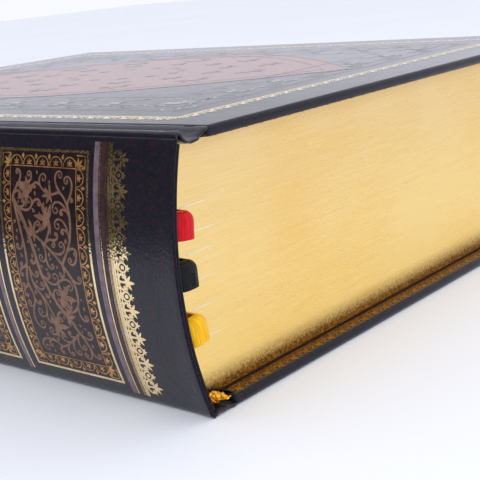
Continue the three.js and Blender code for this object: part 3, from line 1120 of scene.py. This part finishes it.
# Leaves as (down, in, size in millimetres, turn in degrees from the head side).
LEAVES = [(0.12, 0.74, 5.0, 120), (0.24, 0.42, 5.4, 95), (0.31, 0.68, 3.8, 100),
          (0.64, 0.36, 5.4, 275), (0.76, 0.36, 3.6, 250), (0.82, 0.6, 5.2, 265),
          (0.12, 0.38, 3.0, 80)]
CLEARANCE = 1.25  # how far a tendril stays from what is already drawn


def vine(copper, u_low, u_high, v_low, v_high, flip):
    """A vine in a panel; flip mirrors it from side to side."""
    side = -1 if flip else 1

    def spot(down, inwards):
        v = (v_low + v_high) / 2 + side * (inwards - 0.5) * (v_high - v_low)
        return u_high - (u_high - u_low) * down, v

    taken = []
    stems = [[(*spot(down, inwards), width) for down, inwards, width in stem] for stem in STEMS]
    for points in stems:
        copper.strokes.append((points, 24))
        taken += [smooth_profile(points, k / 24)[:2] for k in range(25)]
    for down, inwards, size, turn in LEAVES:
        put = fitted(spot(down, inwards), (0, 1), 1)
        copper.shapes.append(leaf_outline(put, 0, 0, size * 1.2, side * turn, 5, 52, 0.34))
        a, h = math.sin(math.radians(side * turn)), math.cos(math.radians(side * turn))
        for reach in (0.0, 0.45, 0.9, 1.2):
            taken.append(put(a * size * reach, h * size * reach))

    def clear(points):
        """Whether a tendril stays in the panel and away from what is already drawn."""
        inside = all(u_low < a < u_high and v_low < b < v_high for a, b, w in points)
        return inside and all(math.hypot(a - c, b - d) > CLEARANCE
                              for a, b, w in points[4:] for c, d in taken)

    growing = [(points, 10) for points in stems]
    for points, count in growing:
        for k in range(count):
            share = (k + 0.6) / count
            u, v = smooth_profile(points, share)[:2]
            u_next, v_next = smooth_profile(points, min(1, share + 0.02))[:2]
            heading = math.degrees(math.atan2(u_next - u, v_next - v))
            way = 1 if k % 2 else -1
            for length in (17, 14, 11.5, 9, 7):
                new = tendril(u, v, heading + 25 * way, length, 440 * way, 0.8, 1.1)
                if clear(new):
                    copper.strokes.append((new, 26))
                    taken += [smooth_profile(new, n / 14)[:2] for n in range(15)]
                    if count > 4:
                        growing.append((new[:8], 4))
                    break
    dice = random.Random(7)
    for _ in range(420):
        u = dice.uniform(u_low + 0.8, u_high - 0.8)
        v = dice.uniform(v_low + 0.8, v_high - 0.8)
        if min(math.hypot(u - a, v - b) for a, b in taken) > 1.3:
            put = fitted((u, v), (0, 1), dice.uniform(0.4, 0.65))
            turn = dice.uniform(0, 360)
            seed = oval(put, 0, 0, 0.75, 1.2, 0.9, 8)
            small_leaf = leaf_outline(put, 0, 0, 2.0, turn, 3, 60)
            copper.shapes.append(seed if turn > 150 else small_leaf)
            taken.append((u, v))


def medallion(copper, u_low, u_high, v_low, v_high):
    """The middle panel's plain lozenge, where a title would stand, with a leaf at each point."""
    put = fitted(((u_low + u_high) / 2, (v_low + v_high) / 2), (0, 1), 1)
    copper.outlines.append(oval(put, 0, 0, 15, 22, 1.2, 32))
    copper.outlines.append(oval(put, 0, 0, 14, 21, 1.2, 32))
    for angle in (0, 90, 180, 270):
        reach = 23 if angle % 180 == 0 else 16
        out = fitted(put(reach * math.sin(math.radians(angle)), reach * math.cos(math.radians(angle))),
                     (0, 1), 1)
        copper.shapes.append(leaf_outline(out, 0, 0, 4, angle, 5, 44))


# %% Spine panels
def panel(name, v_low, v_high, flip):
    """A spine panel: frame, field, arched border, and a vine, or a lozenge where flip is None."""
    gold = Drawing()
    gold.ring(FRAME_DOWN, FRAME_UP, v_low, v_high, 0.85)
    on_spine(gold, name + "_frame", GOLD_FOIL)
    inner = BORDER_GAP + BORDER
    u_low, u_high = FRAME_DOWN + inner, FRAME_UP - inner
    field = Drawing()
    field.box(FRAME_DOWN + 0.85, FRAME_UP - 0.85, v_low + 0.85, v_high - 0.85)
    on_spine(field, name + "_field", FIELD_INK, lift=0.02)
    border = Drawing()
    border.ring(u_low, u_high, v_low + inner, v_high - inner, 0.28)
    arch_border(border, u_low, u_high, v_low + inner, v_high - inner)
    on_spine(border, name + "_border", BRONZE_FOIL)
    inside = Drawing()
    edge = inner + 1.0
    if flip is None:
        medallion(inside, FRAME_DOWN + edge, FRAME_UP - edge, v_low + edge, v_high - edge)
    else:
        vine(inside, FRAME_DOWN + edge, FRAME_UP - edge, v_low + edge, v_high - edge, flip)
    return on_spine(inside, name + "_vine", COPPER_INK)


def between_panels(name, v_low):
    """A gold line and a mauve stripe in the gap after a panel."""
    gold = Drawing()
    gold.box(STRIPE_DOWN, STRIPE_UP, v_low + 3.1, v_low + 3.7)
    on_spine(gold, name + "_line", GOLD_FOIL)
    mauve = Drawing()
    mauve.box(STRIPE_DOWN, STRIPE_UP, v_low + 3.9, v_low + 5.6)
    on_spine(mauve, name + "_mauve", MAUVE_INK)


place_now = FIRST_PANEL
for number in range(5):
    width = MIDDLE_PANEL if number == 2 else SIDE_PANEL
    flip = {0: False, 1: False, 2: None, 3: True, 4: True}[number]
    made = panel("panel_%d" % (number + 1), place_now, place_now + width, flip)
    if number < 4:
        between_panels("gap_%d" % (number + 1), place_now + width)
    print(made.name, len(made.data.polygons), "faces")
    place_now += width + PANEL_GAP

# %% [markdown]
# ## The covers' tooling
# The upper cover has the same lace round its edge, set further in at the
# head, the tail and the fore edge than at the joint, two thin lines, a wide
# border of pewter scrolls and a pointed oval in burgundy in the middle. The
# turned-in leather inside both covers has a smaller lace in worn gold.

# %% Upper cover ornament
LACE_SPINE = 11.8  # from the cover's spine-side edge to its lace, and from its other edges
LACE_EDGE = 21.9
LACE_SIZE = 0.85
OVAL_HALF = (70, 118)
OVAL_OFF_MIDDLE = 6
# Lines inside the lace: further in from the sides, further in from the ends, and how wide.
PEWTER_LINES = ((10.5, 8.5, 0.6), (12, 10, 0.3), (38, 36, 0.5))


def above_cover(u, v, lift):
    return at(u, v, THICKNESS + lift)


def below_cover(u, v, lift):
    return at(u, v, -lift)


def cover_ornament(side, place, outward):
    """A cover's lace and lines in gold, its scrolls in pewter, and its oval in burgundy."""
    body = side + "_cover"
    u_low, u_high = LACE_SPINE, COVER_WIDTH - LACE_EDGE
    v_low, v_high = LACE_EDGE, HEIGHT - LACE_EDGE
    gold = Drawing()
    corners = [(u_low, v_low), (u_high, v_low), (u_high, v_high), (u_low, v_high)]
    for start, end in zip(corners, corners[1:] + corners[:1]):
        length = (Vector(end) - Vector(start)).length
        lace(gold, start, end, round(length / (LACE_PITCH * LACE_SIZE)), LACE_SIZE, -1)
    gold.ring(u_low - 0.2, u_high + 0.2, v_low - 0.2, v_high + 0.2, 0.5)
    gold.ring(u_low + 0.8, u_high - 0.8, v_low + 0.8, v_high - 0.8, 0.2)
    put_on(gold, side + "_cover_lace", GOLD_FOIL, body, place, outward)
    grey = Drawing()
    for inset_u, inset_v, width in PEWTER_LINES:
        grey.ring(u_low + inset_u, u_high - inset_u, v_low + inset_v, v_high - inset_v, width)
    scroll_band(grey, u_low + 15, u_high - 15, v_low + 13, v_high - 13)
    put_on(grey, side + "_cover_scrolls", GREY_INK, body, place, outward)
    red = Drawing()
    put = fitted(((u_low + u_high) / 2 + OVAL_OFF_MIDDLE, HEIGHT / 2), (1, 0), 1)
    red.outlines.append(pointed_oval(put, *OVAL_HALF))
    put_on(red, side + "_cover_oval", BURGUNDY_INK, body, place, outward)
    line = Drawing()
    for k in (1.0, 0.985, 0.9, 0.89):
        line.outlines.append(pointed_oval(put, OVAL_HALF[0] * k, OVAL_HALF[1] * k))
    for turn in range(0, 360, 30):
        for reach in (18, 32, 45):
            a = reach * math.sin(math.radians(turn))
            h = reach * 1.5 * math.cos(math.radians(turn))
            line.shapes.append(leaf_outline(put, a, h, reach * 0.22, turn, 5, 44))
    put_on(line, side + "_cover_oval_line", WINE_INK, body, place, outward, lift=0.09)


def pointed_oval(put, half_width, half_height, count=40):
    """An oval with a point at each end: two arcs that meet."""
    points = []
    for k in range(count):
        share = k / count * 4
        side = 1 if share < 2 else -1
        h = 1 - share if share < 2 else share - 3
        points.append(put(side * half_width * (1 - abs(h) ** 1.7), half_height * h))
    return points


def scroll_band(grey, u_low, u_high, v_low, v_high):
    """A row of paired scrolls with a leaf between them, all round a rectangle."""
    corners = [(u_low, v_low), (u_high, v_low), (u_high, v_high), (u_low, v_high)]
    for start, end in zip(corners, corners[1:] + corners[:1]):
        start, end = Vector(start), Vector(end)
        ahead = (end - start).normalized()
        count = round((end - start).length / 26)
        pitch = (end - start).length / count
        for n in range(count):
            put = fitted(start + ahead * pitch * (n + 0.5), ahead, 1, 1)
            grey.shapes.append(leaf_outline(put, 0, 9, 6.5, 0, 5, 44))
            grey.shapes.append(leaf_outline(put, 0, 7, 4.5, 180, 5, 44))
            for side in (-1, 1):
                curl = tendril(1.0, 3.0, 60, 34, 480, 1.0, 1.3)
                grey.strokes.append(([(*put(a * side, h), w) for a, h, w in curl], 26))
                curl = tendril(1.5, 15.0, 80, 16, -420, 0.8, 1.3)
                grey.strokes.append(([(*put(a * side, h), w) for a, h, w in curl], 18))


cover_ornament("upper", above_cover, Vector((0, 0, 1)))
cover_ornament("lower", below_cover, Vector((0, 0, -1)))


# %% Lace inside the covers
def inside_lace(side, z, lift_sign):
    """The small lace on the turned-in leather inside a cover, along its three free edges."""
    def place(u, v, lift):
        return at(u, v, z + lift_sign * lift)

    u_high = COVER_WIDTH - 5.9
    v_low, v_high = 5.9, HEIGHT - 5.9
    gold = Drawing()
    size = 0.78
    corners = [(1, v_low), (u_high, v_low), (u_high, v_high), (1, v_high)]
    for start, end in zip(corners, corners[1:]):
        length = (Vector(end) - Vector(start)).length
        lace(gold, start, end, round(length / (LACE_PITCH * size)), size, -1, whole=False)
    gold.box(1, u_high, v_low, v_low + 0.5)
    gold.box(1, u_high, v_high - 0.5, v_high)
    gold.box(u_high - 0.5, u_high, v_low + 0.6, v_high - 0.6)
    put_on(gold, side + "_turn_in_lace", DULL_GOLD, side + "_cover", place,
           Vector((0, 0, lift_sign)))


inside_lace("lower", COVER, 1)
inside_lace("upper", THICKNESS - COVER, -1)


# %% Crumpled foil at the lower joint
def crumpled_turn_in():
    """A scrap of gold leaf, creased into facets, in the corner of the lower joint."""
    dice = random.Random(5)

    def place(s, t):
        wobble = Vector([dice.uniform(-0.6, 0.6) for _ in range(3)]) * mm
        return at(-7.5 + 6.0 * s, 1.0 + 4.0 * t, 3.1 + 0.9 * t + 0.9 * math.sin(math.pi * s)) + wobble

    bm = warped_grid(11, 7, place)
    face_towards(bm, Vector((0, 0, 1)))
    piece = finish_mesh(bm, "crumpled_turn_in", CRUMPLED_GOLD, "lower_cover", outwards=False)
    piece.data.shade_flat()


crumpled_turn_in()

# %% [markdown]
# ## Inner materials
# The pieces that the closed book hides keep their solid shapes and get the
# material that each is made of.

# %% Boards, endpapers and lining
def plain_paper(name, first, second, speck, roughness):
    """A paper, board or cloth with specks of two tones, of a size in millimetres."""
    made, surface = new_material(name)
    place = add_node(made, "ShaderNodeTexCoord").outputs["Object"]
    specks = add_node(made, "ShaderNodeTexNoise", {},
                      {"Vector": place, "Scale": 1 / (speck * mm), "Detail": 5.0})
    tone = add_node(made, "ShaderNodeValToRGB", {}, {"Fac": specks.outputs["Fac"]})
    tone.color_ramp.elements[0].position = 0.3
    tone.color_ramp.elements[0].color = colour(first)
    tone.color_ramp.elements[1].position = 0.7
    tone.color_ramp.elements[1].color = colour(second)
    link(made, tone.outputs["Color"], surface, "Base Color")
    surface.inputs["Roughness"].default_value = roughness
    return made


def dress(node, material):
    """Gives a solid part its material."""
    piece = bpy.data.objects[node]
    piece.data.materials.clear()
    piece.data.materials.append(material)


ENDPAPER = plain_paper("wine-red endpaper", "260c13", "36121b", 3.0, 0.6)
GREY_BOARD = plain_paper("grey binder's board", "86827b", "9c978e", 0.8, 0.9)
LINING = plain_paper("cotton lining cloth", "d8cfbd", "e8e1d2", 0.6, 0.95)
for side in ("upper", "lower"):
    dress(side + "_cover_board", GREY_BOARD)
    dress(side + "_pastedown", ENDPAPER)
dress("lower_flyleaf", ENDPAPER)
dress("spine_inlay", GREY_BOARD)
dress("spine_lining", LINING)


def upper_flyleaf():
    """The free endpaper on top of the leaves."""
    low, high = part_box("upper_flyleaf")
    bm = box_mesh(low, high)
    along = [e for e in bm.edges if abs((e.verts[0].co - e.verts[1].co).normalized().x) > 0.9]
    bmesh.ops.subdivide_edges(bm, edges=along, cuts=59, use_grid_fill=True)
    piece = finish_mesh(bm, "upper_free_endpaper", ENDPAPER, None)
    sharpen(piece)
    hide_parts("upper_flyleaf")
    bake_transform(piece)


upper_flyleaf()

# %% [markdown]
# ## The room
# A pale table runs into a pale background, lit softly from above. A dark
# panel stands to the left of the spine, where only reflections see it. The
# upper half of the spine mirrors it and the lower half mirrors the table,
# which gives the gold foil its depth.

# %% Stage
def make_stage():
    table, surface = new_material("matt white table")
    place = add_node(table, "ShaderNodeTexCoord").outputs["Object"]
    clouds = add_node(table, "ShaderNodeTexNoise", {}, {"Vector": place, "Scale": 3.0})
    tone = add_node(table, "ShaderNodeValToRGB", {}, {"Fac": clouds.outputs["Fac"]})
    tone.color_ramp.elements[0].color = colour("eceff7")
    tone.color_ramp.elements[1].color = colour("f3f5fb")
    link(table, tone.outputs["Color"], surface, "Base Color")
    surface.inputs["Roughness"].default_value = 0.7
    bm = bmesh.new()
    bmesh.ops.create_grid(bm, x_segments=1, y_segments=1, size=4)
    finish_mesh(bm, "table", table, None, outwards=False)


def make_world():
    world = bpy.data.worlds.new("pale room")
    bpy.context.scene.world = world
    world.use_nodes = True
    background = world.node_tree.nodes["Background"]
    background.inputs["Color"].default_value = colour("f3f5fb")
    background.inputs["Strength"].default_value = 1.05


def area_light(name, place, aim, size, power):
    """A rectangular lamp at a place, turned towards its aim, with its power in watts."""
    data = bpy.data.lights.new(name, "AREA")
    data.shape = "RECTANGLE"
    data.size, data.size_y = size
    data.energy = power
    light = bpy.data.objects.new(name, data)
    turn = (aim - place).to_track_quat("-Z", "Y").to_matrix().to_4x4()
    light.matrix_world = Matrix.Translation(place) @ turn
    bpy.context.collection.objects.link(light)
    return light


FLAG_DISTANCE = 0.215
FLAG_SIZE = Vector((0.75, 0.32))


def dark_flag():
    """A black panel across the spine, which only reflections see."""
    black, surface = new_material("black velvet")
    place = add_node(black, "ShaderNodeTexCoord").outputs["Object"]
    folds = add_node(black, "ShaderNodeTexNoise", {}, {"Vector": place, "Scale": 60.0, "Detail": 4.0})
    tone = add_node(black, "ShaderNodeValToRGB", {}, {"Fac": folds.outputs["Fac"]})
    tone.color_ramp.elements[0].position = 0.42
    tone.color_ramp.elements[0].color = colour("0b0a08")
    tone.color_ramp.elements[1].position = 0.66
    tone.color_ramp.elements[1].color = colour("8b8378")
    link(black, tone.outputs["Color"], surface, "Base Color")
    surface.inputs["Roughness"].default_value = 1.0
    towards = Vector((-CAMERA_FORWARD.x, CAMERA_FORWARD.y, 0)).normalized()
    middle = at(CROWN, 60, 0) + towards * FLAG_DISTANCE
    bm = bmesh.new()
    bmesh.ops.create_grid(bm, x_segments=1, y_segments=1, size=0.5)
    side = Vector((-towards.y, towards.x, 0))
    for vert in bm.verts:
        vert.co = (middle + side * vert.co.x * FLAG_SIZE.x
                   + Vector((0, 0, (vert.co.y + 0.5) * FLAG_SIZE.y)))
    flag = finish_mesh(bm, "dark_flag", black, None, outwards=False)
    flag.visible_camera = False
    flag.visible_diffuse = False
    flag.visible_shadow = False


make_stage()
make_world()
dark_flag()
area_light("overhead softbox", Vector((0.25, -0.3, 1.3)), Vector((0, 0, 0)), (1.4, 1.1), 1.6)
fill = area_light("fill from the left", Vector((-0.9, -0.7, 0.9)), Vector((-0.2, -0.1, 0)), (0.9, 0.9), 4.5)
fill.visible_glossy = False
bpy.context.scene.view_settings.view_transform = "Standard"
bpy.context.scene.view_settings.look = "None"
